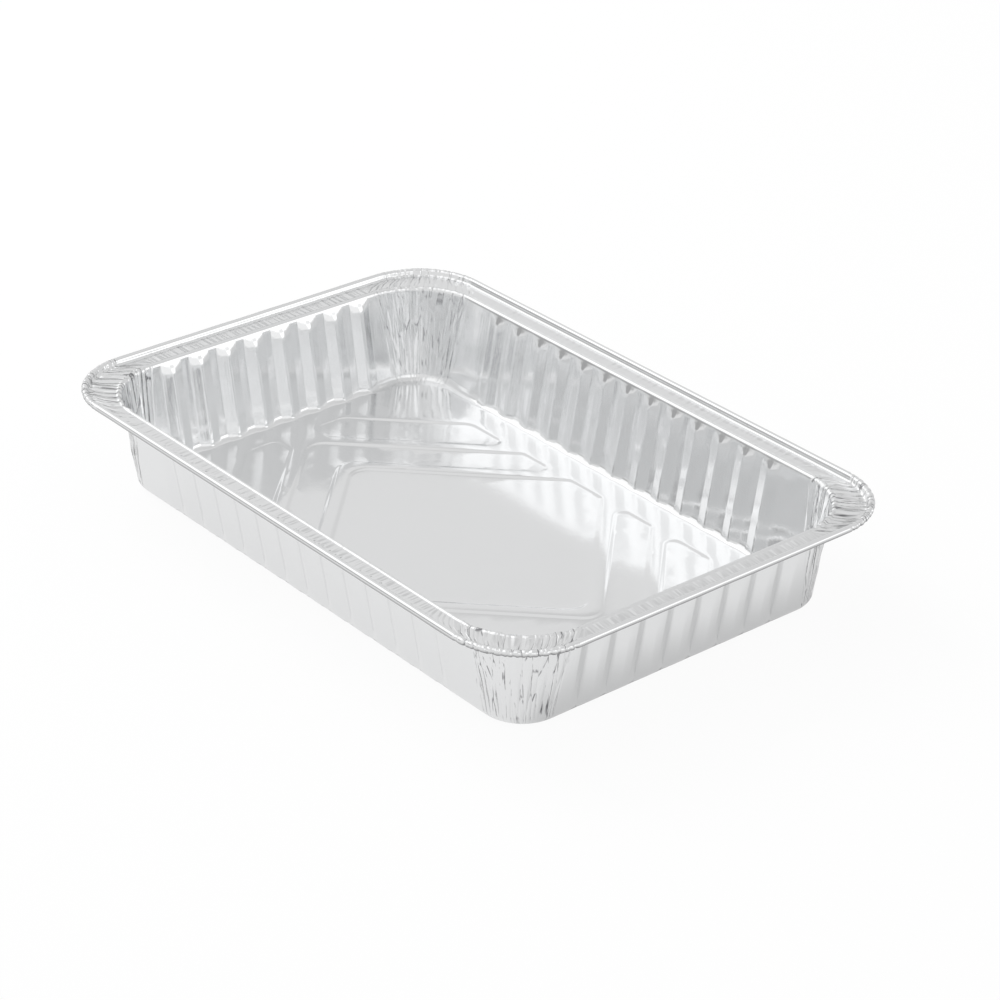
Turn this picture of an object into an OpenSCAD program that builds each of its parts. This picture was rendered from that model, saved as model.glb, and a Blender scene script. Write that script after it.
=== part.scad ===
// Foil roasting pan, pressed from one sheet: embossed floor, ribbed walls, flange and rolled bead.
// The pan stands on z = 0, centred on the origin, with its length along X.

/* [Rim] */
// Length over the bead, along X
rim_length = 330; // [306:1:380]
// Width over the bead, along Y
rim_width = 224; // [214:1:260]
// Height from the table to the top of the bead
pan_height = 51; // [35:0.5:80]
// Corner radius outside the bead
rim_corner = 36.5; // [33:0.5:42]
// Width from the wall's top line to the outside of the bead
rim_band = 13.8; // [10:0.1:18]
// Diameter of the bead
bead_diameter = 3.3; // [2.4:0.1:4.5]
// Height of the bead's top above the flange
bead_rise = 3; // [2:0.1:4]
// Sweep of the curl from the inside of the bead, over the top and under
curl_sweep = 300; // [210:30:300]
// Width and height of the crease where the flange turns up into the bead
crease = 0.5; // [0.2:0.1:0.8]

/* [Walls] */
// How far each wall leans out between the table and the flange
wall_lean = 8.4; // [4:0.1:12]
// Corner radius where the wall turns out into the flange
brow_corner = 34; // [28:0.5:40]
// Radius of that turn
brow_radius = 1.6; // [0.8:0.1:3]
// Corner radius of the wall's line at the table
foot_corner = 20; // [14:0.5:30]
// Radius of the turn from the floor to the wall
foot_radius = 5; // [3:0.5:8]
// Thickness of the foil
foil = 0.12; // [0.08:0.01:0.3]

/* [Ribs] */
// Distance between rib centres
rib_pitch = 15.75; // [13:0.05:24]
// Width of a rib where it leaves the wall
rib_base = 11.8; // [8:0.1:12.8]
// Width of its rounded crest
rib_crest = 4.2; // [2:0.1:6]
// How far the crest stands into the pan
rib_depth = 1.9; // [0.8:0.1:2.8]
// Height of the sloping top end
rib_slope = 2.8; // [1.5:0.1:6]
// Least plain wall between the last rib and the corner, on a long wall
long_plain = 16.5; // [2:0.5:40]
// Least plain wall between the last rib and the corner, on a short wall
short_plain = 3; // [1:0.5:40]

/* [Corner folds] */
// Folds in each corner
folds = 10; // [6:1:12]
// Height of the folds that stand up from the flange
fold_height = 0.6; // [0.1:0.05:1]
// Depth of the notches that the folds leave in the bead
fold_notch = 0.35; // [0.1:0.05:0.5]
// Depth of the folds in the wall's corner
fold_depth = 0.4; // [0.1:0.05:0.7]

/* [Floor panels] */
// How far the panels are pressed below the rest of the floor
panel_depth = 0.6; // [0.3:0.1:1.2]
// Width of the slope round each panel
panel_slope = 2.4; // [1.6:0.1:3]
// Distance from the wall's foot line to the panels, at the short walls
end_margin = 13.8; // [11:0.1:20]
// Distance from the wall's foot line to the panels, at the long walls
side_margin = 16.8; // [12:0.1:18]
// Width of the diagonal ridges
ridge = 6.8; // [5:0.1:9]
// Width of the four corner panels, across the diagonal
corner_panel = 20.9; // [18:0.1:23]
// Length cut off the outer corner of a corner panel, along each side
corner_cut = 44.5; // [40:0.5:48]
// Width of a corner panel at its end beside the pan's long axis
corner_end = 12; // [10:0.1:16]
// Width of the two bent panels, across the diagonal
bent_panel = 17.4; // [12:0.1:20]
// Least length of the cut ends of the middle panel
middle_end = 8; // [6:0.5:20]
// Corner radius at the panels' blunt corners
panel_corner = 9; // [6:0.5:12]
// Corner radius at their sharp corners
panel_tip = 4; // [3:0.1:5]

/* [Hidden] */

// Levels and reaches of the sheet's middle, as distances u outwards from the wall's line at the table
rim_reach = wall_lean + rim_band;
flange_z = pan_height - bead_rise - foil / 2;
floor_z = panel_depth + foil / 2;
lean_angle = atan(wall_lean / flange_z);
half_length = rim_length / 2 - rim_reach;
half_width = rim_width / 2 - rim_reach;

// Centre and radius of the three arcs in the section
foot_centre_z = floor_z + foot_radius;
foot_centre_u = (foot_centre_z * sin(lean_angle) - foot_radius) / cos(lean_angle);
brow_centre_z = flange_z - brow_radius;
brow_centre_u = (brow_radius + brow_centre_z * sin(lean_angle)) / cos(lean_angle);
bead_radius = (bead_diameter - foil) / 2;
bead_centre_z = pan_height - bead_diameter / 2;
bead_centre_u = rim_reach - bead_diameter / 2;

// Steps that the round forms are cut into
foot_steps = 8;
curl_step = 30;
curl_steps = round(curl_sweep / curl_step);
panel_steps = 3;
fold_steps = 2 * folds;

function turn(angle) = [cos(angle), sin(angle)];

// A row of the section: [u, z, corner radius, rib depth, fold inwards, fold upwards]
function wall_corner(z) = foot_corner + (brow_corner - foot_corner) * z / flange_z;
function foot_row(angle, rib = 0) =
    let (z = foot_centre_z + foot_radius * sin(angle))
    [foot_centre_u + foot_radius * cos(angle), z, wall_corner(z) - foot_radius * (1 - cos(angle)), rib, 0, 0];
function wall_row(z, rib, fold) = [z * tan(lean_angle), z, wall_corner(z), rib, fold, 0];
function brow_row(angle) =
    let (u = brow_centre_u + brow_radius * cos(angle))
    [u, brow_centre_z + brow_radius * sin(angle), brow_corner + u - wall_lean, 0, fold_depth, 0];
function rim_row(u, z, out, up) = [u, z, rim_corner + u - rim_reach, 0, out, up];
function bead_row(angle) =
    rim_row(bead_centre_u + bead_radius * cos(angle), bead_centre_z + bead_radius * sin(angle),
            fold_notch * cos(angle), -fold_notch * sin(angle));

brow_top = brow_centre_z + brow_radius * sin(lean_angle);
floor_rows = [foot_row(-90), foot_row(-60)];
wall_rows = [
    foot_row(-33, rib_depth / 2),
    wall_row(foot_centre_z - foot_radius * sin(lean_angle), rib_depth, 0),
    wall_row(brow_top - rib_slope, rib_depth, fold_depth),
    wall_row(brow_top, 0, fold_depth)
];
rim_rows = concat(
    [brow_row(130), brow_row(90)],
    [rim_row(bead_centre_u - bead_radius - crease, flange_z, 0, fold_height)],
    [rim_row(bead_centre_u - bead_radius, flange_z + crease, 0, fold_height / 2)],
    [for (i = [0:curl_steps]) bead_row(180 - i * curl_step)]
);
rows = concat(floor_rows, wall_rows, rim_rows);

// The same rows moved by half the foil to the food side (1) or the outside (-1)
function unit(v) = v / norm(v);
function row_normal(i) =
    let (a = i == 0 ? rows[0] - [1, 0, 0, 0, 0, 0] : rows[i - 1], b = i == len(rows) - 1 ? rows[i] : rows[i + 1])
    let (t = unit([b[0] - a[0], b[1] - a[1]]))
    [-t[1], t[0]];
function skin_row(i, side) =
    let (n = row_normal(i) * side * foil / 2)
    rows[i] + [n[0], n[1], n[0], 0, 0, 0];

// Stations round a ring: [quadrant, angle in the corner, or undef, place along the side, rib share, fold share]
function corner_stations(q, steps) = [for (j = [0:steps]) [q, 90 * j / steps, 0, 0, j % 2]];
function rib_count(half, plain) = floor((2 * (half + wall_lean - brow_corner - plain) - rib_base) / rib_pitch) + 1;
rib_section = [[-rib_base / 2, 0], [-rib_crest / 2, 0.85], [0, 1], [rib_crest / 2, 0.85], [rib_base / 2, 0]];
function side_stations(q, section) =
    let (n = q % 2 == 0 ? rib_count(half_length, long_plain) : rib_count(half_width, short_plain))
    [for (i = [0:1:n - 1], s = section) [q, undef, (i - (n - 1) / 2) * rib_pitch + s[0], s[1], 0]];
foot_stations = [for (q = [0:3]) each concat(corner_stations(q, foot_steps), side_stations(q, [[0, 0]]))];
wall_stations = [for (q = [0:3]) each concat(corner_stations(q, fold_steps), side_stations(q, rib_section))];
rim_stations = [for (q = [0:3]) each corner_stations(q, fold_steps)];

// A point of a row at a station; the quadrant's corner is followed by the side that it leads to
corner_signs = [[1, 1], [-1, 1], [-1, -1], [1, -1]];
function place(row, s) =
    let (reach = [half_length + row[0], half_width + row[0]])
    s[1] == undef
    ? let (q = s[0], out = turn(90 * q + 90), along = turn(90 * q + 180))
      let (p = out * (reach[q % 2 == 0 ? 1 : 0] - s[3] * row[3]) + along * s[2])
      [p[0], p[1], row[1]]
    : let (c = corner_signs[s[0]], out = turn(90 * s[0] + s[1]))
      let (x = c[0] * (reach[0] - row[2]), y = c[1] * (reach[1] - row[2]), r = row[2] - s[4] * row[4])
      [x + r * out[0], y + r * out[1], row[1] + s[4] * row[5]];

// Floor panels: outlines run anticlockwise, each point with its outward direction
panel_x = half_length - end_margin;
panel_y = half_width - side_margin;
diagonal = sqrt(2);
corner_outer = panel_x + panel_y - corner_cut;
corner_inner = corner_outer - corner_panel * diagonal;
bent_outer = corner_inner - ridge * diagonal;
bent_inner = bent_outer - bent_panel * diagonal;
middle = bent_inner - ridge * diagonal;
middle_y = min(panel_y, middle - middle_end / 2);

function cross2(a, b) = a[0] * b[1] - a[1] * b[0];
function outline(corners, radii) =
    let (n = len(corners))
    [for (i = [0:n - 1])
        let (p = corners[i], d1 = unit(p - corners[(i + n - 1) % n]), d2 = unit(corners[(i + 1) % n] - p))
        let (n1 = [d1[1], -d1[0]], n2 = [d2[1], -d2[0]], bend = cross2(d1, d2) > 0 ? 1 : -1)
        let (c = p - bend * (n1 + n2) * radii[i] / (1 + n1 * n2), a1 = atan2(n1[1], n1[0]))
        let (sweep = bend * acos(n1 * n2))
        for (j = [0:panel_steps]) let (out = turn(a1 + sweep * j / panel_steps)) [c + bend * radii[i] * out, out]];

middle_panel = outline(
    [[middle, 0], [middle - middle_y, middle_y], [middle_y - middle, middle_y],
     [-middle, 0], [middle_y - middle, -middle_y], [middle - middle_y, -middle_y]],
    [panel_corner, panel_tip, panel_tip, panel_corner, panel_tip, panel_tip]);
bent_outline = outline(
    [[bent_outer, 0], [bent_outer - panel_y, panel_y], [bent_inner - panel_y, panel_y],
     [bent_inner, 0], [bent_inner - panel_y, -panel_y], [bent_outer - panel_y, -panel_y]],
    [panel_corner, panel_tip, panel_tip, panel_corner, panel_tip, panel_tip]);
corner_outline = outline(
    [[panel_x - corner_end, corner_inner - panel_x + corner_end], [panel_x, corner_inner - panel_x + corner_end],
     [panel_x, corner_outer - panel_x], [corner_outer - panel_y, panel_y], [corner_inner - panel_y, panel_y]],
    [panel_tip, panel_tip, panel_corner, panel_corner, panel_tip]);

// The outlines turned or mirrored to the other quadrants; a mirrored one is reversed, to stay anticlockwise
function flip(v, s) = [v[0] * s[0], v[1] * s[1]];
function mirrored(shape, s) =
    let (m = [for (e = shape) [flip(e[0], s), flip(e[1], s)]])
    s[0] * s[1] > 0 ? m : [for (i = [len(m) - 1:-1:0]) m[i]];
panels = concat(
    [middle_panel],
    [for (s = [[1, 1], [-1, 1]]) mirrored(bent_outline, s)],
    [for (s = corner_signs) mirrored(corner_outline, s)]
);
function panel_ring(panel, grow, z) = [for (e = panel) let (p = e[0] + grow * e[1]) [p[0], p[1], z]];

// All points of one skin: the rings of the section, then two rings for each panel
function ring_stations(i) =
    i < len(floor_rows) ? foot_stations : i < len(floor_rows) + len(wall_rows) ? wall_stations : rim_stations;
function skin_points(side) =
    let (rise = side * foil / 2)
    concat(
        [for (i = [0:len(rows) - 1]) [for (s = ring_stations(i)) place(skin_row(i, side), s)]],
        [for (p = panels) each [panel_ring(p, panel_slope / 2, floor_z + rise),
                                panel_ring(p, -panel_slope / 2, foil / 2 + rise)]]
    );

// Index lists: where each ring starts, and a ring as its indices
function sums(v) = [for (i = 0, s = 0; i <= len(v); s = s + (i < len(v) ? v[i] : 0), i = i + 1) s];
ring_sizes = concat(
    [for (i = [0:len(rows) - 1]) len(ring_stations(i))],
    [for (p = panels) each [len(p), len(p)]]
);
ring_starts = sums(ring_sizes);
skin_size = ring_starts[len(ring_sizes)];
function ring(k) = [for (i = [0:ring_sizes[k] - 1]) ring_starts[k] + i];
function closed(v) = concat(v, [v[0]]);
function reversed(v) = [for (i = [len(v) - 1:-1:0]) v[i]];
// The stretch of ring k from place a to place b, going anticlockwise
function stretch(k, a, b) =
    let (n = ring_sizes[k], last = b < a ? b + n : b)
    [for (i = [a:last]) ring_starts[k] + i % n];

// Triangles between two chains of points that run side by side, with a on the left; they may share their ends
function zip(p, a, b, i = 0, j = 0) =
    let (more_a = i < len(a) - 1, more_b = j < len(b) - 1)
    !more_a && !more_b ? [] :
    let (step_a = !more_b || (more_a && norm(p[a[i + 1]] - p[b[j]]) <= norm(p[a[i]] - p[b[j + 1]])))
    let (next = step_a ? a[i + 1] : b[j + 1], flat = a[i] == b[j] || next == a[i] || next == b[j])
    concat(flat ? [] : [[a[i], next, b[j]]], step_a ? zip(p, a, b, i + 1, j) : zip(p, a, b, i, j + 1));

// Triangles between two rings with the same stations; a fold's line runs through its deepest point
function band(a, b, height) =
    [for (i = [0:len(a) - 2])
        let (one = height[a[i]] + height[b[i + 1]], other = height[a[i + 1]] + height[b[i]])
        each one > other ? [[a[i], b[i + 1], b[i]], [a[i], a[i + 1], b[i + 1]]]
                         : [[a[i], a[i + 1], b[i]], [b[i], a[i + 1], b[i + 1]]]];

// How far each point of the section stands in from the plain wall, to choose between the two ways above
function lift(row, s) = s[3] * row[3] + s[4] * norm([row[4], row[5]]);
lifts = [for (i = [0:len(rows) - 1], s = ring_stations(i)) lift(rows[i], s)];

// Places on the panels' outlines where one neighbour ends and the next begins: the middle of a rounded corner,
// or its end at the corner panels' edge beside the long axis
function mid(corner) = corner * (panel_steps + 1) + floor(panel_steps / 2);
function end(corner) = corner * (panel_steps + 1) + panel_steps;
function both(place, shape) = [place, len(shape) - 1 - place];
first_panel = len(rows);
function upper(panel) = first_panel + 2 * panel;
function lower(panel) = first_panel + 2 * panel + 1;

// The ridges: between the middle and the bent panels, then between these and the corner panels
bent_mid = [for (c = [0:5]) both(mid(c), bent_outline)];
corner_mid = [for (c = [0:4]) both(c == 0 ? end(c) : mid(c), corner_outline)];
function ridge_faces(p) = concat(
    zip(p, stretch(upper(0), mid(5), mid(1)), reversed(stretch(upper(1), bent_mid[2][0], bent_mid[4][0]))),
    zip(p, stretch(upper(0), mid(2), mid(4)), reversed(stretch(upper(2), bent_mid[4][1], bent_mid[2][1]))),
    zip(p, stretch(upper(1), bent_mid[5][0], bent_mid[1][0]),
        reversed(concat(stretch(upper(3), corner_mid[4][0], corner_mid[0][0]),
                        stretch(upper(6), corner_mid[0][1], corner_mid[4][1])))),
    zip(p, stretch(upper(2), bent_mid[1][1], bent_mid[5][1]),
        reversed(concat(stretch(upper(5), corner_mid[4][0], corner_mid[0][0]),
                        stretch(upper(4), corner_mid[0][1], corner_mid[4][1]))))
);

// The inner edge of the floor's margin, anticlockwise from the outer corner of the corner panel at +X +Y
margin = concat(
    stretch(upper(3), corner_mid[2][0], corner_mid[4][0]), stretch(upper(1), bent_mid[1][0], bent_mid[2][0]),
    stretch(upper(0), mid(1), mid(2)),
    stretch(upper(2), bent_mid[2][1], bent_mid[1][1]), stretch(upper(4), corner_mid[4][1], corner_mid[0][1]),
    stretch(upper(5), corner_mid[0][0], corner_mid[4][0]), stretch(upper(2), bent_mid[5][1], bent_mid[4][1]),
    stretch(upper(0), mid(4), mid(5)),
    stretch(upper(1), bent_mid[4][0], bent_mid[5][0]), stretch(upper(6), corner_mid[4][1], corner_mid[0][1]),
    stretch(upper(3), corner_mid[0][0], corner_mid[2][0] - 1)
);

// The slopes round the panels and the panels themselves, each filled between two chains of its outline
function panel_fill(p, k, a, b) = zip(p, reversed(stretch(k, b, a)), stretch(k, a, b));
function panel_faces(p) = concat(
    [for (i = [0:len(panels) - 1]) each zip(p, closed(ring(lower(i))), closed(ring(upper(i))))],
    panel_fill(p, lower(0), mid(3), mid(0)),
    panel_fill(p, lower(1), mid(4), mid(1)),
    panel_fill(p, lower(2), bent_mid[1][1], bent_mid[4][1]),
    [for (i = [0, 2]) each panel_fill(p, lower(3 + i), corner_mid[4][0], corner_mid[1][0])],
    [for (i = [1, 3]) each panel_fill(p, lower(3 + i), corner_mid[1][1], corner_mid[4][1])]
);

// The rings of the section, from the floor out to the free edge of the curl
function section_faces(p) =
    [for (i = [0:len(rows) - 2])
        let (a = closed(ring(i)), b = closed(ring(i + 1)))
        each len(a) == len(b) ? band(a, b, lifts) : zip(p, a, b)];

function skin_faces(p) = concat(zip(p, closed(margin), closed(ring(0))), ridge_faces(p), panel_faces(p),
                                section_faces(p));
function shifted(faces, by) = [for (f = faces) [f[0] + by, f[1] + by, f[2] + by]];
function turned(faces) = [for (f = faces) [f[0], f[2], f[1]]];

module foil_pan() {
    inside = [for (r = skin_points(1)) each r];
    outside = [for (r = skin_points(-1)) each r];
    faces = skin_faces(inside);
    edge = closed(ring(len(rows) - 1));
    edge_faces = [for (i = [0:len(edge) - 2])
        each [[edge[i], edge[i + 1] + skin_size, edge[i] + skin_size],
              [edge[i], edge[i + 1], edge[i + 1] + skin_size]]];
    color("silver")
        polyhedron(points = concat(inside, outside),
                   faces = concat(faces, turned(shifted(faces, skin_size)), edge_faces));
}

foil_pan();
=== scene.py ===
import math
import bpy
import numpy as np
from mathutils import Matrix, Vector
from mathutils.geometry import delaunay_2d_cdt


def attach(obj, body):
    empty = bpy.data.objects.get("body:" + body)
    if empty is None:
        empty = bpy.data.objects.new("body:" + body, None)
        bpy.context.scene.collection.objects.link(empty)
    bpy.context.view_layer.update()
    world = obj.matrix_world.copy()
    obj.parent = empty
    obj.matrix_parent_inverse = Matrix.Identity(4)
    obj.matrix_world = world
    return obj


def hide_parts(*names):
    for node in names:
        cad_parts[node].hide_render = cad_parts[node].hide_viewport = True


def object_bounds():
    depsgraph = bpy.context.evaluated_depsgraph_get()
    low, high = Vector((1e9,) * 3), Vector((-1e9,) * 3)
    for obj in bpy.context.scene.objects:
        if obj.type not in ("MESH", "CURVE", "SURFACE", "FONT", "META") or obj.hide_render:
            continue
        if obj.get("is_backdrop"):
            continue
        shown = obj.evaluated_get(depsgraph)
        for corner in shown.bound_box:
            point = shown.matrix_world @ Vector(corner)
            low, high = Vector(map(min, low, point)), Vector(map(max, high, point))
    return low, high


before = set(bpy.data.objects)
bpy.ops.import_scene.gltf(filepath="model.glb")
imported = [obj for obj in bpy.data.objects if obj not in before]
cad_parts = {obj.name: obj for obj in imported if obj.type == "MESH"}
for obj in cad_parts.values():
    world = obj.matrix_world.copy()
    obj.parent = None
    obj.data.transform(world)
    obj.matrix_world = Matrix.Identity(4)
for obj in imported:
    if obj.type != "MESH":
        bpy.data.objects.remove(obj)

cadLow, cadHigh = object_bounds()
mm = 0.001

# The foil pan: one sheet, in millimetres, standing on z = 0 with its length along X.
# Corners and sides are counted anticlockwise from the corner at +X +Y and the +Y side; pairs are long, short
pan = {
    "length": (cadHigh.x - cadLow.x) / mm,
    "width": (cadHigh.y - cadLow.y) / mm,
    "height": cadHigh.z / mm,
    "foil": 0.12,
    "rimCorner": 36.5,       # corner radius outside the bead
    "rimBand": 13.8,         # wall top to the outside of the bead
    "rimDroop": 7.0,         # degrees by which the right rim hangs
    "beadDiameter": 3.3,
    "beadRise": 3.0,         # top of the bead over the flange
    "beadGap": 0.35,         # between the flange's last row and the bead
    "curlSweep": 300,
    "wallLean": 8.4,
    "browCorner": 34.0,      # corner radius where the wall turns out into the flange
    "browRadius": 1.6,
    "centreShift": (0.3, 0.6),   # start and length, in flange widths, of the corner centre's way to the rim's
    "footCorner": 20.0,      # corner radius of the wall line at the table
    "footRadius": 5.0,
    "cornerSteps": 106,
    "plainSteps": (12, 4),
    "ribs": (13, 8),
    "ribPitch": 15.75,
    "ribDepth": (1.3, 1.9, 1.3, 1.7),
    # distances from a rib's middle, and the shares of its depth there
    "ribProfile": ((0.5, 0.9, 1.25, 5.35, 5.7, 6.1), (1, 0.96, 0.89, 0.08, 0.025, 0)),
    "ribSlope": 4.2,         # height of the sloping facet at the top of a rib
    "facetBlend": 0.12,
    "facetReach": 0.3,       # the blend is left out where the facet stands this far off the rib
    "footBlend": 0.3,
    "backCorner": 1,
    "backCornerShare": 0.55,     # it is gathered less sharply
}

# Rows of the section, from the floor out to the free edge of the curl: degrees round the foot, brow and bead,
# heights on the wall and ways out on the flange. Each rise is what stands over the plain shape: a small lip
# round the mouth, a shallow dish in the flange, and a fine ridge by the bead
section = {
    "foot": (-90, -75, -60, -46, -33, -21),
    "wall": (8, 13, 19, 25, 31, 36, 39.5, 41.5, 43.2, 44.4, 45.4),
    "browAndRise": ((150, 0.1), (130, 0.25), (110, 0.42), (90, 0.5)),
    "flangeAndRise": ((0.35, 0.44), (0.62, 0.2), (0.82, 0.03), (1.4, -0.05), (5.0, -0.14), (6.5, -0.08),
                      (7.05, 0.14), (7.5, -0.04)),
    "flangeEndRise": -0.02,
    "bead": (180, 150, 120, 95, 70, 45, 20, -5, -35, -75),
}

foil = pan["foil"]
rimReach = pan["wallLean"] + pan["rimBand"]
flangeZ = pan["height"] - pan["beadRise"] - foil / 2
lean = math.atan(pan["wallLean"] / flangeZ)
halfLength = pan["length"] / 2 - rimReach
halfWidth = pan["width"] / 2 - rimReach
browZ = flangeZ - pan["browRadius"]
browU = (pan["browRadius"] + browZ * math.sin(lean)) / math.cos(lean)
browTop = browZ + pan["browRadius"] * math.sin(lean)
beadRadius = (pan["beadDiameter"] - foil) / 2
beadZ = pan["height"] - pan["beadDiameter"] / 2
beadU = rimReach - pan["beadDiameter"] / 2

# Floor: its sunk panels, then the fineness of its mesh and its soft swells
floor = {
    "panelDepth": 0.6,
    "panelSlope": 2.8,
    "endMargin": 13.8,
    "sideMargin": 16.8,
    "ridge": 6.8,            # between two panels
    "cornerPanel": 20.9,
    "cornerCut": 44.5,
    "cornerEnd": 12.0,
    "bentPanel": 17.4,
    "middleEnd": 8.0,
    "corner": 9.0,
    "tip": 4.0,
    "outlineStep": 4.2,
    "arcStep": 1.3,
    "slopeShares": (-0.5, -0.28, -0.1, 0.1, 0.28, 0.5),
    "gridStep": 6.4,
    "gridGap": 1.6,
    "swell": {"wavelength": 46, "seed": 8, "height": 0.16, "edge": 14},
}
floorZ = floor["panelDepth"] + foil / 2
footZ = floorZ + pan["footRadius"]
footU = (footZ * math.sin(lean) - pan["footRadius"]) / math.cos(lean)


def smoothStep(x):
    x = np.clip(x, 0.0, 1.0)
    return x * x * (3 - 2 * x)


def softMin(a, b, k):
    h = np.clip(0.5 + 0.5 * (b - a) / k, 0, 1)
    return b + (a - b) * h - k * h * (1 - h)


# Soft unevenness, about -1 to 1: seeded plane waves added up
def rolling(points, wavelength, seed):
    waves = 14
    r = np.random.default_rng(seed)
    total = np.zeros(points.shape[:-1])
    for i in range(waves):
        d = r.normal(size=3)
        d /= np.linalg.norm(d)
        k = 2 * math.pi / (wavelength * r.uniform(0.7, 1.6))
        total += np.sin(points @ d * k + r.uniform(0, 2 * math.pi))
    return total / math.sqrt(waves / 2) / 2


def wallCorner(z):
    return pan["footCorner"] + (pan["browCorner"] - pan["footCorner"]) * z / flangeZ


rows = []     # each is u, the way out from the wall line at the table, then z, corner radius and zone
for a in section["foot"]:
    t = math.radians(a)
    z = footZ + pan["footRadius"] * math.sin(t)
    r = wallCorner(z) - pan["footRadius"] * (1 - math.cos(t))
    rows.append((footU + pan["footRadius"] * math.cos(t), z, r, "foot"))
wallStart = footZ - pan["footRadius"] * math.sin(lean)
for z in (wallStart, *section["wall"], browTop):
    rows.append((z * math.tan(lean), z, wallCorner(z), "wall"))
for a, rise in section["browAndRise"]:
    t = math.radians(a)
    u = browU + pan["browRadius"] * math.cos(t)
    z = browZ + pan["browRadius"] * math.sin(t) + rise
    rows.append((u, z, pan["browCorner"] + u - pan["wallLean"], "brow"))
flangeWidth = beadU - beadRadius - pan["beadGap"] - browU
shiftStart, shiftLength = pan["centreShift"]
for out, rise in (*section["flangeAndRise"], (flangeWidth, section["flangeEndRise"])):
    u = browU + out
    share = smoothStep((out / flangeWidth - shiftStart) / shiftLength)
    wallR = pan["browCorner"] + u - pan["wallLean"]
    rimR = pan["rimCorner"] + u - rimReach
    rows.append((u, flangeZ + rise, wallR + (rimR - wallR) * share, "flange"))
for a in (*section["bead"], 180 - pan["curlSweep"]):
    t = math.radians(a)
    u = beadU + beadRadius * math.cos(t)
    rows.append((u, beadZ + beadRadius * math.sin(t), pan["rimCorner"] + u - rimReach, "bead"))
rowU, rowZ, rowR = (np.array([r[i] for r in rows]) for i in range(3))
zone = np.array([r[3] for r in rows])
midWall = int(np.argmin(np.abs(rowZ - pan["height"] / 2)))
reach = np.concatenate([[0], np.cumsum(np.hypot(np.diff(rowU), np.diff(rowZ)))])   # length along the section
tangent = np.gradient(np.stack([rowU, rowZ], 1), axis=0)
tangent /= np.linalg.norm(tangent, axis=1)[:, None]
rowNormal = np.stack([-tangent[:, 1], tangent[:, 0]], 1)   # to the food side, up on the flange

# Stations round the pan: quarter, kind, angle in the corner and place. Kind 0 is the corner, 1 the plain
# stretch after it, 2 the ribs and 3 the plain stretch before the next corner
stations = []
halfSteps = pan["ribProfile"][0]
ribSteps = [-pan["ribPitch"] / 2] + [-x for x in reversed(halfSteps)] + list(halfSteps)
for q in range(4):
    ribs, plainSteps = pan["ribs"][q % 2], pan["plainSteps"][q % 2]
    zoneHalf = ribs * pan["ribPitch"] / 2
    for j in range(pan["cornerSteps"]):
        stations.append((q, 0, j * 90 / pan["cornerSteps"], 0.0))
    for j in range(plainSteps):
        stations.append((q, 1, 0.0, j / plainSteps))
    for j in range(ribs):
        for step in ribSteps:
            stations.append((q, 2, 0.0, -zoneHalf + (j + 0.5) * pan["ribPitch"] + step))
    for j in range(plainSteps):
        stations.append((q, 3, 0.0, j / plainSteps))
stations = np.array(stations)
count = len(stations)
quarter = stations[:, 0].astype(int)
kind = stations[:, 1].astype(int)
cornerAngle = stations[:, 2]

base = np.zeros((len(rows), count, 3))
outward = np.zeros((len(rows), count, 2))
signs = np.array([[1, 1], [-1, 1], [-1, -1], [1, -1]])
along = np.zeros((len(rows), count))     # place along the side, for the ribs
for i in range(len(rows)):
    half = np.array([halfLength + rowU[i], halfWidth + rowU[i]])
    for q in range(4):
        here = quarter == q
        c = here & (kind == 0)
        t = np.radians(90 * q + cornerAngle[c])
        out = np.stack([np.cos(t), np.sin(t)], 1)
        base[i, c, :2] = signs[q] * (half - rowR[i]) + rowR[i] * out
        outward[i, c] = out
        s = here & (kind > 0)
        depth = half[1 - q % 2]
        end = half[q % 2] - rowR[i]
        zoneHalf = pan["ribs"][q % 2] * pan["ribPitch"] / 2
        share = stations[s, 3]
        k = kind[s]
        place = np.where(k == 1, -end + (end - zoneHalf) * share,
                         np.where(k == 3, zoneHalf + (end - zoneHalf) * share, share))
        t = math.radians(90 * q + 90)
        out, run = np.array([math.cos(t), math.sin(t)]), np.array([-math.sin(t), math.cos(t)])
        base[i, s, :2] = out * depth + place[:, None] * run
        outward[i, s] = out
        along[i, s] = place
    base[i, :, 2] = rowZ[i]
print("pan: section of", len(rows), "rows and", count, "stations")

# The rim hangs a little on the right, and the corners beside it carry it back up
turn = np.radians(cornerAngle)
hang = np.where(kind == 0, np.where(quarter == 3, np.sin(turn), np.cos(turn)) ** 2, 1.0)
hang = np.where((quarter == 3) | ((quarter == 0) & (kind == 0)), hang, 0)
for i in np.nonzero(zone == "flange")[0]:
    base[i, :, 2] -= hang * math.tan(math.radians(pan["rimDroop"])) * (rowU[i] - browU)

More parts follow.
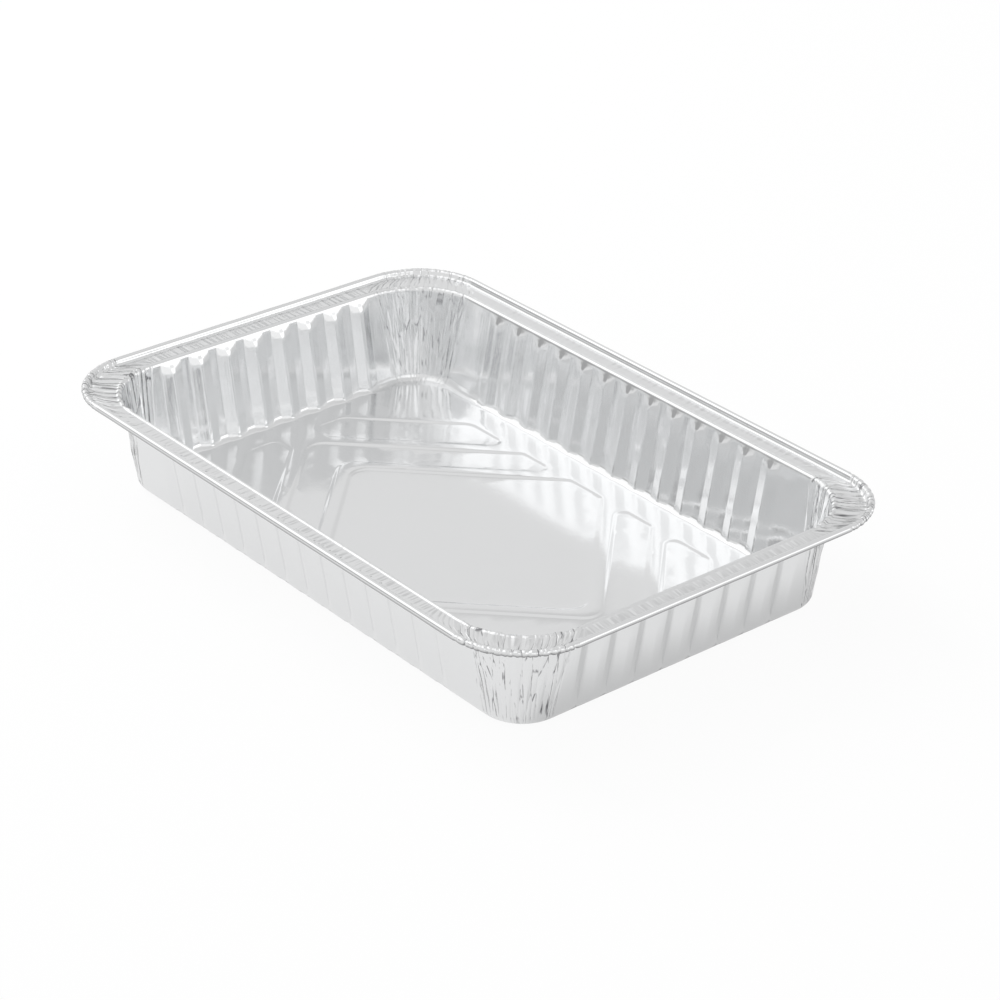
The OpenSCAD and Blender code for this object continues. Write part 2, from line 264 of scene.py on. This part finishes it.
# Ribs: corrugations with straight flanks pressed into the pan, cut off at the top by a sloping facet
ribbed = kind == 2
offset = np.zeros((len(rows), count))     # off the middle of the nearest rib
for q in range(4):
    n = pan["ribs"][q % 2]
    here = ribbed & (quarter == q)
    s = along[midWall, here]
    k = np.clip(np.round(s / pan["ribPitch"] + (n - 1) / 2), 0, n - 1)
    offset[:, here] = (s - (k - (n - 1) / 2) * pan["ribPitch"])[None, :]
ribDepth = np.array(pan["ribDepth"])[quarter]
ribLift = np.where(ribbed[None, :], np.interp(np.abs(offset), *pan["ribProfile"]), 0) * ribDepth[None, :]
move = np.zeros((len(rows), count))     # along the row's normal
for i in range(len(rows)):
    if zone[i] == "wall":
        facet = (browTop - rowZ[i]) * ribDepth / pan["ribSlope"]
        cut = softMin(ribLift[i], facet, pan["facetBlend"])
        move[i] = np.where(facet < ribDepth + pan["facetReach"], cut, ribLift[i])
        move[i] = np.maximum(move[i], 0) * (ribLift[i] > 0)
    elif zone[i] == "foot":
        gap = (rowZ[i] * math.tan(lean) - rowU[i]) * math.cos(lean)
        lift = -softMin(-(ribLift[i] - gap), np.zeros(count), pan["footBlend"])
        move[i] = np.maximum(lift, 0) * (ribLift[i] > 0)

# Folds in the corners, where the gathered sheet has nowhere to go: each a sharp line of its own.
# Heights and lengths are in millimetres, half widths in degrees round the corner
cornerFolds = {
    "crease": {"zones": ("wall", "brow"), "count": 40, "height": (0.14, 0.40), "width": (0.9, 1.6),
               "length": (4, 18), "slant": 0.08, "fromTop": 0.55, "steep": 0.0, "signs": (1, -1)},
    "buckle": {"zones": ("wall", "brow"), "count": 9, "height": (0.15, 0.40), "width": (2.6, 4.8),
               "length": (14, 36), "slant": 0.10, "fromTop": 0.7, "steep": 0.3, "signs": (1, -1)},
    "pleat": {"zones": ("brow", "flange"), "count": 26, "height": (0.18, 0.52), "width": (1.2, 2.2),
              "length": (7, 12), "slant": 0.35, "fromTop": 1.0, "steep": 0.55, "signs": (1, 1, -1)},
    "notch": {"zones": ("bead",), "count": 26, "height": (0.2, 0.6), "width": (1.0, 1.8),
              "length": (5, 10), "slant": 0.25, "fromTop": 1.0, "steep": 0.3, "signs": (-1,)},
}

# What they share: seeds, how far each strays from its even place, the wave in its line, and its fading ends
everyFold = {
    "seed": 41,
    "seedPerCorner": 17,
    "seedPerKind": 5,
    "stray": 0.45,
    "waveHeight": 0.4,
    "wavePace": 0.4,
    "wavePhases": 6.28,
    "zoneOverlap": 0.4,
    "sideFade": 3,           # degrees
    "footFade": 0.3,         # share of its length
    "topOver": 0.5,
}
for q in range(4):
    here = (quarter == q) & (kind == 0)
    angle = cornerAngle[here][None, :]
    ends = smoothStep(angle / everyFold["sideFade"]) * smoothStep((90 - angle) / everyFold["sideFade"])
    sharpness = pan["backCornerShare"] if q == pan["backCorner"] else 1
    for number, fold in enumerate(cornerFolds.values()):
        r = np.random.default_rng(everyFold["seed"] + everyFold["seedPerCorner"] * q
                                  + everyFold["seedPerKind"] * number)
        inZone = np.isin(zone, fold["zones"])
        low = reach[inZone][0] - everyFold["zoneOverlap"]
        high = reach[inZone][-1] + everyFold["zoneOverlap"]
        s = reach[:, None]
        field = np.zeros((len(rows), here.sum()))
        for n in range(fold["count"]):
            middle = 90 * (n + 0.5 + r.uniform(-everyFold["stray"], everyFold["stray"])) / fold["count"]
            width, height, length = (r.uniform(*fold[k]) for k in ("width", "height", "length"))
            atTop = r.uniform() < fold["fromTop"]
            top = high if atTop else high - r.uniform(0, 1) * max(high - low - length, 0)
            line = middle + r.normal() * fold["slant"] * (s - top + length / 2)
            phase = r.uniform(0, everyFold["wavePhases"])
            line = line + everyFold["waveHeight"] * np.sin(s * everyFold["wavePace"] + phase)
            x = (angle - line) / width
            peak = fold["steep"] * r.choice([1, -1])       # a fold that leans has one steep side
            ridge = np.clip(np.minimum((x + 1) / (1 + peak), (1 - x) / (1 - peak)), 0, 1)
            fade = smoothStep((s - top + length) / (everyFold["footFade"] * length))
            fade = fade * smoothStep(top + everyFold["topOver"] - s)
            field += r.choice(fold["signs"]) * height * ridge * fade
        move[:, here] += field * ends * inZone[:, None] * sharpness

# Soft dents: strongest on the plain stretches beside the corners, faint on the ribbed wall and the rim
dents = {
    "shares": {"corner": 0.35, "ribbed": 0.12, "plain": 1.0},
    "blend": 6,              # stations to each side over which the shares blend
    "footFade": (3, 8),
    "topFade": 5,
    "wall": {"wavelength": 17, "seed": 3, "depth": 0.34},
    "rim": {"wavelength": 23, "seed": 5, "flange": 0.1, "bead": 0.05},
    "flange": {"wavelength": 5.5, "seed": 6, "depth": 0.035, "stretch": (1, 1, 0.1)},
}
shares, blend = dents["shares"], dents["blend"]
plain = np.where(kind == 0, shares["corner"], np.where(ribbed, shares["ribbed"], shares["plain"]))
window = np.ones(2 * blend + 1) / (2 * blend + 1)
plain = np.convolve(np.concatenate([plain[-blend:], plain, plain[:blend]]), window, "valid")
fadeStart, fadeLength = dents["footFade"]
wallShare = smoothStep((rowZ - fadeStart) / fadeLength) * smoothStep((browTop - rowZ) / dents["topFade"])
wallShare = wallShare * np.isin(zone, ("wall", "foot"))
waves = rolling(base, dents["wall"]["wavelength"], dents["wall"]["seed"])
move += waves * plain[None, :] * wallShare[:, None] * dents["wall"]["depth"]
rimShare = np.where(zone == "bead", dents["rim"]["bead"], 0)
rimShare = np.where(zone == "flange", dents["rim"]["flange"], rimShare)
move += rolling(base, dents["rim"]["wavelength"], dents["rim"]["seed"]) * rimShare[:, None]
waves = rolling(base * np.array(dents["flange"]["stretch"]), dents["flange"]["wavelength"],
                dents["flange"]["seed"])
move += waves * (zone == "flange")[:, None] * dents["flange"]["depth"]

# The moved sheet
sheet = base.copy()
sheet[:, :, :2] += outward * (rowNormal[:, 0][:, None] * move)[:, :, None]
sheet[:, :, 2] += rowNormal[:, 1][:, None] * move
around = np.roll(sheet, -1, 1) - np.roll(sheet, 1, 1)
normals = np.cross(around, np.gradient(sheet, axis=0))
normals /= np.linalg.norm(normals, axis=2)[:, :, None]
normals *= np.sign(normals[0, :, 2].mean())   # the floor's end looks up
normals[0] = (0, 0, 1)

# Floor panels: outlines run anticlockwise, as points with their outward directions
panelX, panelY = halfLength - floor["endMargin"], halfWidth - floor["sideMargin"]
cornerOuter = panelX + panelY - floor["cornerCut"]
cornerInner = cornerOuter - floor["cornerPanel"] * math.sqrt(2)
bentOuter = cornerInner - floor["ridge"] * math.sqrt(2)
bentInner = bentOuter - floor["bentPanel"] * math.sqrt(2)
middle = bentInner - floor["ridge"] * math.sqrt(2)
middleY = min(panelY, middle - floor["middleEnd"] / 2)
cornerEndY = cornerInner - panelX + floor["cornerEnd"]
big, tip = floor["corner"], floor["tip"]
middleShape = ([(middle, 0), (middle - middleY, middleY), (middleY - middle, middleY),
                (-middle, 0), (middleY - middle, -middleY), (middle - middleY, -middleY)],
               [big, tip, tip, big, tip, tip])
bentShape = ([(bentOuter, 0), (bentOuter - panelY, panelY), (bentInner - panelY, panelY),
              (bentInner, 0), (bentInner - panelY, -panelY), (bentOuter - panelY, -panelY)],
             [big, tip, tip, big, tip, tip])
cornerShape = ([(panelX - floor["cornerEnd"], cornerEndY), (panelX, cornerEndY),
                (panelX, cornerOuter - panelX),
                (cornerOuter - panelY, panelY), (cornerInner - panelY, panelY)],
               [tip, tip, big, big, tip])


def outline(corners, radii):
    corners = [np.array(c, float) for c in corners]
    n = len(corners)
    points = []
    for i in range(n):
        p = corners[i]
        d1 = p - corners[i - 1]
        d2 = corners[(i + 1) % n] - p
        d1, d2 = d1 / np.linalg.norm(d1), d2 / np.linalg.norm(d2)
        n1, n2 = np.array([d1[1], -d1[0]]), np.array([d2[1], -d2[0]])
        bend = 1 if d1[0] * d2[1] - d1[1] * d2[0] > 0 else -1
        centre = p - bend * (n1 + n2) * radii[i] / (1 + n1 @ n2)
        sweep = bend * math.acos(np.clip(n1 @ n2, -1, 1))
        start = math.atan2(n1[1], n1[0])
        steps = max(3, round(abs(sweep) * radii[i] / floor["arcStep"]))
        for j in range(steps + 1):
            t = start + sweep * j / steps
            out = np.array([math.cos(t), math.sin(t)])
            points.append((centre + bend * radii[i] * out, out))
    filled = []
    for (p, out), (nextP, _) in zip(points, points[1:] + points[:1]):
        filled.append((p, out))
        parts = int(np.linalg.norm(nextP - p) / floor["outlineStep"])
        for j in range(1, parts):
            filled.append((p + (nextP - p) * j / parts, out))
    return np.array([f[0] for f in filled]), np.array([f[1] for f in filled])


panels = []
for shape, flips in ((middleShape, [(1, 1)]), (bentShape, [(1, 1), (-1, 1)]),
                     (cornerShape, [(1, 1), (-1, 1), (-1, -1), (1, -1)])):
    points, outs = outline(*shape)
    for f in flips:
        panels.append((points * f, outs * f))


def insideOf(p, poly):
    x, y = p[:, 0][:, None], p[:, 1][:, None]
    a, b = poly, np.roll(poly, -1, 0)
    crosses = (a[:, 1] > y) != (b[:, 1] > y)
    rise = np.where(b[:, 1] == a[:, 1], 1e-9, b[:, 1] - a[:, 1])
    at = a[:, 0] + (y - a[:, 1]) * (b[:, 0] - a[:, 0]) / rise
    return np.sum(crosses & (x < at), axis=1) % 2 == 1


def nearest(points, others):
    return np.array([np.min(np.hypot(*(others - p).T)) for p in points])


slope = floor["panelSlope"]
ringFloor = sheet[0, :, :2]
floorPoints, floorHeights = [ringFloor], [sheet[0, :, 2]]
for points, outs in panels:
    for share in floor["slopeShares"]:
        floorPoints.append(points + outs * share * slope)
        sunk = floor["panelDepth"] * (1 - smoothStep(share + 0.5))
        floorHeights.append(np.full(len(points), floorZ - sunk))
step = floor["gridStep"]
gx, gy = np.meshgrid(np.arange(-halfLength, halfLength, step), np.arange(-halfWidth, halfWidth, step))
gx = gx + (np.arange(gx.shape[0]) % 2 * step / 2)[:, None]
grid = np.stack([gx.ravel(), gy.ravel()], 1)
grid = grid[insideOf(grid, ringFloor)]
drawn = np.concatenate([p for p, o in panels] + [ringFloor])
grid = grid[nearest(grid, drawn) > slope * 0.5 + floor["gridGap"]]
sunken = np.zeros(len(grid), bool)
for points, outs in panels:
    sunken |= insideOf(grid, points)
floorPoints.append(grid)
floorHeights.append(np.where(sunken, floorZ - floor["panelDepth"], floorZ))
floorXY, floorHeight = np.concatenate(floorPoints), np.concatenate(floorHeights)
rimEdges = [(i, (i + 1) % count) for i in range(count)]
wholeInside, precision = 1, 1e-5
cdt = delaunay_2d_cdt([Vector(p) for p in floorXY], rimEdges, [], wholeInside, precision)
if len(cdt[0]) != len(floorXY):
    raise RuntimeError("the floor's points changed in the triangulation")
floorFaces = cdt[2]
swell = floor["swell"]
swells = rolling(np.insert(floorXY, 2, 0, axis=1), swell["wavelength"], swell["seed"]) * 0.5 + 0.5
edgeFade = smoothStep(nearest(floorXY, ringFloor) / swell["edge"])
floorHeight = floorHeight + swell["height"] * swells * edgeFade
print("pan: floor of", len(floorXY), "points and", len(floorFaces), "triangles")

# Both skins, joined along the free edge of the curl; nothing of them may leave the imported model's box
ringIndex = np.arange(len(rows) * count).reshape(len(rows), count)
innerFloor = np.column_stack([floorXY[count:], floorHeight[count:]])
skins = []
for side in (1, -1):
    walls = sheet + normals * side * foil / 2
    bottom = innerFloor + np.array([0, 0, side * foil / 2])
    skins.append(np.concatenate([walls.reshape(-1, 3), bottom]))
skinSize = len(skins[0])
vertices = np.clip(np.concatenate(skins), np.array(cadLow) / mm, np.array(cadHigh) / mm)
nextStation = np.roll(np.arange(count), -1)
quads = []
for a, b in zip(ringIndex[:-1], ringIndex[1:]):
    quads.append(np.stack([a, a[nextStation], b[nextStation], b], 1))
quads = np.concatenate(quads)
floorMap = np.concatenate([np.arange(count), np.arange(len(floorXY) - count) + len(rows) * count])
corners = floorXY[list(floorFaces[0])]
turnsLeft = np.cross(np.append(corners[1] - corners[0], 0), np.append(corners[2] - corners[0], 0))[2] > 0
insideFaces = []
for face in floorFaces:
    face = tuple(int(floorMap[v]) for v in face)
    insideFaces.append(face if turnsLeft else face[::-1])
insideFaces += [tuple(int(v) for v in f[::-1]) for f in quads]
outsideFaces = [tuple(v + skinSize for v in f[::-1]) for f in insideFaces]
edgeFaces = []
for a, b in zip(ringIndex[-1].tolist(), ringIndex[-1][nextStation].tolist()):
    edgeFaces.append((a, b, b + skinSize, a + skinSize))
mesh = bpy.data.meshes.new("foilPan")
mesh.from_pydata([tuple(v) for v in vertices * mm], [], insideFaces + outsideFaces + edgeFaces)
mesh.validate()
mesh.polygons.foreach_set("use_smooth", np.ones(len(mesh.polygons), bool))
mesh.update()

# The sheet's own directions, round the pan and out along its section, for lines that follow the pressing
midRing = base[midWall, :, :2]
roundPan = np.concatenate([[0], np.cumsum(np.linalg.norm(np.diff(midRing, axis=0), axis=1))])
wholeRound = roundPan[-1] + np.linalg.norm(midRing[0] - midRing[-1])
ringPlace = np.stack(np.broadcast_arrays(roundPan[None, :], reach[:, None]), 2).reshape(-1, 2)
skinPlace = np.concatenate([ringPlace, floorXY[count:]])
loopVertex = np.zeros(len(mesh.loops), int)
mesh.loops.foreach_get("vertex_index", loopVertex)
loopPlace = skinPlace[loopVertex % skinSize]
faceSize = np.zeros(len(mesh.polygons), int)
mesh.polygons.foreach_get("loop_total", faceSize)
faceOf = np.repeat(np.arange(len(faceSize)), faceSize)
farthest = np.zeros(len(faceSize))
np.maximum.at(farthest, faceOf, loopPlace[:, 0])
overSeam = (faceSize[faceOf] == 4) & (farthest[faceOf] > wholeRound * 0.9)
loopPlace[overSeam & (loopPlace[:, 0] < wholeRound * 0.1), 0] += wholeRound
mesh.uv_layers.new(name="sheet").data.foreach_set("uv", (loopPlace * mm).ravel())

# Where the finish changes and where shade is painted: shares from 0 to 1 on each point, the same on both
# skins
shareOf = {
    "cornerFade": 6,         # degrees
    "gatheredFoot": 0.4,
    "backRimLoss": 0.7,      # ripples are weaker on the back rim
    "backRimStart": 1.5,
    "underBeadStart": 5,     # degrees round the bead, where the painted shade on its underside starts
    "underBeadFade": 20,
}


def addShare(name, share):
    share = np.concatenate([share.ravel(), np.zeros(skinSize - share.size)])
    mesh.attributes.new(name, "FLOAT", "POINT").data.foreach_set("value", np.tile(share, 2))


allRound = np.ones(count)[None, :]
fade = shareOf["cornerFade"]
cornerShare = np.where(kind == 0, smoothStep(cornerAngle / fade) * smoothStep((90 - cornerAngle) / fade), 0)
cornerShare = cornerShare * np.where(quarter == pan["backCorner"], pan["backCornerShare"], 1)
gathered = np.where(zone == "foot", shareOf["gatheredFoot"], 1.0)[:, None] * cornerShare[None, :]
gathered[0] = 0
addShare("gathered", gathered)
addShare("onWall", np.where(np.isin(zone, ("wall", "brow")), 1.0, 0)[:, None] * allRound)
towardsBack = np.clip(shareOf["backRimStart"] * outward[0, :, 1], 0, 1)
rimShare = 1 - shareOf["backRimLoss"] * towardsBack
addShare("onRim", np.where(zone == "flange", 1.0, 0)[:, None] * rimShare[None, :])
# painted shade on the bead's underside, all round the pan
beadTurn = np.degrees(np.arctan2(rowZ - beadZ, rowU - beadU))
underTurn = np.clip((shareOf["underBeadStart"] - beadTurn) / shareOf["underBeadFade"], 0, 1)
addShare("underBead", np.where(zone == "bead", underTurn, 0)[:, None] * allRound)
panObject = bpy.data.objects.new("foilPan", mesh)
bpy.context.scene.collection.objects.link(panObject)
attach(panObject, "root")
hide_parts("foil_pan")
triangles = sum(len(p.vertices) - 2 for p in mesh.polygons)
print("pan:", len(mesh.vertices), "points,", triangles, "triangles")


# Parts of node trees: a value is a number or colour, or the socket it comes from
def feed(tree, value, socket):
    if isinstance(value, bpy.types.NodeSocket):
        tree.links.new(value, socket)
    else:
        socket.default_value = value


def mapped(tree, value, start, end, low=0.0, high=1.0, interpolation="LINEAR"):
    part = tree.nodes.new("ShaderNodeMapRange")
    part.interpolation_type = interpolation
    given = {"Value": value, "From Min": start, "From Max": end, "To Min": low, "To Max": high}
    for name in given:
        feed(tree, given[name], part.inputs[name])
    return part.outputs[0]


def mathOf(tree, operation, first, second):
    part = tree.nodes.new("ShaderNodeMath")
    part.operation = operation
    feed(tree, first, part.inputs[0])
    feed(tree, second, part.inputs[1])
    return part.outputs[0]


def blended(tree, share, first, second, dataType="FLOAT"):
    part = tree.nodes.new("ShaderNodeMix")
    part.data_type = dataType
    for name, given in (("Factor", share), ("A", first), ("B", second)):
        feed(tree, given, part.inputs[name])
    return part.outputs["Result"]


# Bright foil: mirror-like metal with rolling lines, wrinkles, gathers at the corners and ripples on the rim,
# with shade painted into pinched gathers and under the bead
finish = {
    "colour": (0.87, 0.875, 0.88, 1),
    "roughness": 0.12,
    "roughnessSpread": 0.08,
    "roughPatches": {"scale": 60, "stretch": (1, 1, 1), "detail": 3},
    "rollingLines": {"height": 0.000004, "scale": 900, "stretch": (0.04, 1, 1), "detail": 2},
    "wrinkles": {"height": 0.00003, "scale": 260, "stretch": (1, 1, 1), "detail": 3},
    "gathers": {"height": 0.0004, "scale": 380, "stretch": (1, 0.10, 1), "flank": 0.3, "valley": 0.05},
    # painted shade for the valleys of tightly pinched gathers
    "pinches": {"colour": (0.16, 0.16, 0.17, 1), "scale": 400, "stretch": (1, 0.30, 1), "detail": 2,
                "over": (0.50, 0.58)},
    "rimRipples": {"height": 0.0011, "scale": 330, "stretch": (1, 0.06, 1), "detail": 1},
    "wallBrush": {"height": 0.00004, "scale": 700, "stretch": (1, 0.03, 1), "detail": 2},
    "underBead": (0.24, 0.24, 0.245, 1),     # painted shade on the underside of the bead, inside the curl's tight fold
}


def foilMaterial():
    m = bpy.data.materials.new("brightFoil")
    m.use_nodes = True
    tree = m.node_tree
    nodes, links = tree.nodes, tree.links
    nodes.clear()
    out = nodes.new("ShaderNodeOutputMaterial")
    shader = nodes.new("ShaderNodeBsdfPrincipled")
    shader.inputs["Metallic"].default_value = 1.0
    links.new(shader.outputs[0], out.inputs["Surface"])
    inSpace = nodes.new("ShaderNodeTexCoord").outputs["Object"]
    sheetMap = nodes.new("ShaderNodeUVMap")
    sheetMap.uv_map = "sheet"
    onSheet = sheetMap.outputs[0]

    def stretched(socket, stretch):
        mapping = nodes.new("ShaderNodeMapping")
        mapping.inputs["Scale"].default_value = stretch
        links.new(socket, mapping.inputs["Vector"])
        return mapping.outputs[0]

    def noise(socket, part):
        n = nodes.new("ShaderNodeTexNoise")
        n.inputs["Scale"].default_value = part["scale"]
        n.inputs["Detail"].default_value = part["detail"]
        links.new(stretched(socket, part["stretch"]), n.inputs["Vector"])
        return n.outputs["Fac"]

    def attribute(name):
        a = nodes.new("ShaderNodeAttribute")
        a.attribute_name = name
        return a.outputs["Fac"]

    def bump(height, part, share=None, under=None):
        b = nodes.new("ShaderNodeBump")
        b.inputs["Distance"].default_value = part["height"]
        links.new(height, b.inputs["Height"])
        if share is not None:
            links.new(share, b.inputs["Strength"])
        if under is not None:
            links.new(under, b.inputs["Normal"])
        return b.outputs[0]

    middle, spread = finish["roughness"], finish["roughnessSpread"] / 2
    rough = mapped(tree, noise(inSpace, finish["roughPatches"]), 0, 1, middle - spread, middle + spread)
    links.new(rough, shader.inputs["Roughness"])

    normal = bump(noise(inSpace, finish["rollingLines"]), finish["rollingLines"])
    normal = bump(noise(inSpace, finish["wrinkles"]), finish["wrinkles"], None, normal)
    gathers = finish["gathers"]
    cells = nodes.new("ShaderNodeTexVoronoi")
    cells.feature = "DISTANCE_TO_EDGE"
    cells.inputs["Scale"].default_value = gathers["scale"]
    links.new(stretched(onSheet, gathers["stretch"]), cells.inputs["Vector"])
    offEdge = cells.outputs["Distance"]
    gathered = attribute("gathered")
    normal = bump(mapped(tree, offEdge, 0, gathers["flank"]), gathers, gathered, normal)

    # painted shade: here and there the valley of a tightly pinched gather is coloured dark, for the shade
    # that falls in it
    valley = mapped(tree, offEdge, 0, gathers["valley"], 1, 0)
    pinches = finish["pinches"]
    some = mapped(tree, noise(onSheet, pinches), *pinches["over"])
    dark = mathOf(tree, "MULTIPLY", mathOf(tree, "MULTIPLY", gathered, valley), some)
    colour = blended(tree, dark, finish["colour"], pinches["colour"], "RGBA")
    # painted shade under the bead
    colour = blended(tree, attribute("underBead"), colour, finish["underBead"], "RGBA")
    links.new(colour, shader.inputs["Base Color"])
    normal = bump(noise(onSheet, finish["rimRipples"]), finish["rimRipples"], attribute("onRim"), normal)
    normal = bump(noise(onSheet, finish["wallBrush"]), finish["wallBrush"], attribute("onWall"), normal)
    links.new(normal, shader.inputs["Normal"])
    return m


panObject.data.materials.append(foilMaterial())

# Table: plain white board that the camera and the foil see almost as white, with the pan's shadow on it. A
# soft shadow is also painted into the white that the foil mirrors, along the pan's right foot: each range is
# in metres, from none to full
table = {
    "size": 6.0,
    "drop": 0.0003,          # under the pan's foot
    "colour": (0.88, 0.88, 0.88, 1),
    "whiteSeen": 0.93,
    "whiteMirrored": 0.85,
    "mirroredLevel": 0.88,
    "footShade": 0.26,
    "shadeRanges": (("X", 0.130, 0.144), ("X", 0.173, 0.1445), ("Y", -0.098, -0.070)),
}
tableMesh = bpy.data.meshes.new("tableTop")
h = table["size"] / 2
tableMesh.from_pydata([(-h, -h, 0), (h, -h, 0), (h, h, 0), (-h, h, 0)], [], [(0, 1, 2, 3)])
tableTop = bpy.data.objects.new("tableTop", tableMesh)
tableTop.location.z = -table["drop"]
bpy.context.scene.collection.objects.link(tableTop)
tableTop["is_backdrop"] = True


def boardMaterial():
    m = bpy.data.materials.new("whiteBoard")
    m.use_nodes = True
    tree = m.node_tree
    nodes, links = tree.nodes, tree.links
    nodes.clear()
    out = nodes.new("ShaderNodeOutputMaterial")
    lit = nodes.new("ShaderNodeBsdfDiffuse")
    lit.inputs["Color"].default_value = table["colour"]
    white = nodes.new("ShaderNodeEmission")
    rays = nodes.new("ShaderNodeLightPath").outputs
    place = nodes.new("ShaderNodeTexCoord")
    axes = nodes.new("ShaderNodeSeparateXYZ")
    links.new(place.outputs["Object"], axes.inputs[0])
    # painted shadow: the white that the foil mirrors is darker in this box beside the right foot
    shade = 1.0
    for axis, start, end in table["shadeRanges"]:
        share = mapped(tree, axes.outputs[axis], start, end, interpolation="SMOOTHSTEP")
        shade = mathOf(tree, "MULTIPLY", shade, share)
    mirrored = mapped(tree, shade, 0, 1, table["mirroredLevel"], table["mirroredLevel"] - table["footShade"])
    links.new(mapped(tree, rays["Is Camera Ray"], 0, 1, mirrored, 1), white.inputs["Strength"])
    seenShare = mathOf(tree, "MULTIPLY", rays["Is Camera Ray"], table["whiteSeen"])
    mirroredShare = mathOf(tree, "MULTIPLY", rays["Is Glossy Ray"], table["whiteMirrored"])
    mix = nodes.new("ShaderNodeMixShader")
    links.new(mathOf(tree, "ADD", seenShare, mirroredShare), mix.inputs["Fac"])
    links.new(lit.outputs[0], mix.inputs[1])
    links.new(white.outputs[0], mix.inputs[2])
    links.new(mix.outputs[0], out.inputs["Surface"])
    return m


tableMesh.materials.append(boardMaterial())
print("table: in place")


# A direction turned in degrees from -X towards +Y and raised from the table
def direction(turned, raised):
    turned, raised = math.radians(turned), math.radians(raised)
    across = math.cos(raised)
    return Vector((-across * math.cos(turned), across * math.sin(turned), math.sin(raised)))


# Studio: a pale room with soft white panels. Each has its direction, the degrees over which it fades out,
# and a level
studio = {
    "room": 0.80,
    "panels": {
        "right": {"turned": 170, "raised": 20, "fades": (20, 42), "level": 0.98},
        "ceilingRight": {"turned": 165, "raised": 60, "fades": (20, 36), "level": 0.70},
        "back": {"turned": 92, "raised": 14, "fades": (34, 50), "level": 0.72},
        "ceilingFront": {"turned": 292, "raised": 56, "fades": (5, 34), "level": 1.08},
        "left": {"turned": 347, "raised": 29, "fades": (10, 30), "level": 1.14},
        "window": {"turned": 334, "raised": 43, "fades": (12, 26), "level": 1.30},
        "rightWindow": {"turned": 145, "raised": 17, "fades": (8, 17), "level": 1.32},
        "backEdge": {"turned": 47, "raised": 42, "fades": (4, 12), "level": 0.64},
        "frontLow": {"turned": 322, "raised": 31, "fades": (6, 12), "level": 1.10},
        "windowGap": {"turned": 314, "raised": 11, "fades": (5, 12), "level": 0.40},
        "flankGlow": {"turned": 192, "raised": 33, "fades": (8, 20), "level": 1.14},
    },
}
world = bpy.data.worlds.new("studio")
bpy.context.scene.world = world
world.use_nodes = True
studioTree = world.node_tree
studioTree.nodes.clear()
worldOut = studioTree.nodes.new("ShaderNodeOutputWorld")
worldLight = studioTree.nodes.new("ShaderNodeBackground")
worldLight.inputs["Color"].default_value = (1, 1, 1, 1)
worldPlace = studioTree.nodes.new("ShaderNodeTexCoord")


def panelShare(panel):
    dot = studioTree.nodes.new("ShaderNodeVectorMath")
    dot.operation = "DOT_PRODUCT"
    dot.inputs[1].default_value = direction(panel["turned"], panel["raised"])
    studioTree.links.new(worldPlace.outputs["Generated"], dot.inputs[0])
    full, none = (math.cos(math.radians(a)) for a in panel["fades"])
    return mapped(studioTree, dot.outputs["Value"], none, full, interpolation="SMOOTHSTEP")


level = studio["room"]
for panel in studio["panels"].values():
    level = blended(studioTree, panelShare(panel), level, panel["level"])
seen = studioTree.nodes.new("ShaderNodeLightPath")
strength = blended(studioTree, seen.outputs["Is Camera Ray"], level, 1.0)
studioTree.links.new(strength, worldLight.inputs["Strength"])
studioTree.links.new(worldLight.outputs[0], worldOut.inputs["Surface"])

# Key light from the left, for the soft shadow on the table; the foil mirrors the panels, not the lamp
key = {"turned": 350, "raised": 42, "distance": 1.6, "size": 0.8, "energy": 9.0}
keyData = bpy.data.lights.new("keySoftbox", "AREA")
keyData.shape = "SQUARE"
keyData.size = key["size"]
keyData.energy = key["energy"]
keyLight = bpy.data.objects.new("keySoftbox", keyData)
keyWay = direction(key["turned"], key["raised"])
keyLight.location = keyWay * key["distance"]
keyLight.rotation_euler = keyWay.to_track_quat("Z", "Y").to_euler()
keyLight.visible_glossy = False
bpy.context.scene.collection.objects.link(keyLight)
print("studio:", len(studio["panels"]), "panels and a lamp")

# Camera, from the photo's outline
camera = {"azimuth": 49.894, "elevation": 28.423, "roll": 0.868, "distance": 1.403064,
          "right": 0.015624, "up": 0.017198, "lens": 111.696, "sensor": 36}
azimuth, elevation, roll = (math.radians(camera[k]) for k in ("azimuth", "elevation", "roll"))
back = Vector((math.sin(azimuth) * math.cos(elevation), -math.cos(azimuth) * math.cos(elevation),
               math.sin(elevation)))
right = Vector((math.cos(azimuth), math.sin(azimuth), 0))
up = back.cross(right)
rolledRight = right * math.cos(roll) + up * math.sin(roll)
rolledUp = up * math.cos(roll) - right * math.sin(roll)
cameraData = bpy.data.cameras.new("camera")
cameraData.sensor_width = camera["sensor"]
cameraData.lens = camera["lens"]
cameraObject = bpy.data.objects.new("camera", cameraData)
bpy.context.scene.collection.objects.link(cameraObject)
facing = Matrix((rolledRight, rolledUp, back)).transposed().to_4x4()
spot = back * camera["distance"] + right * camera["right"] + up * camera["up"]
cameraObject.matrix_world = Matrix.Translation(spot) @ facing
bpy.context.scene.camera = cameraObject

bpy.context.scene.view_settings.view_transform = "Standard"
bpy.context.view_layer.update()
low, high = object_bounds()
print("scene: done")
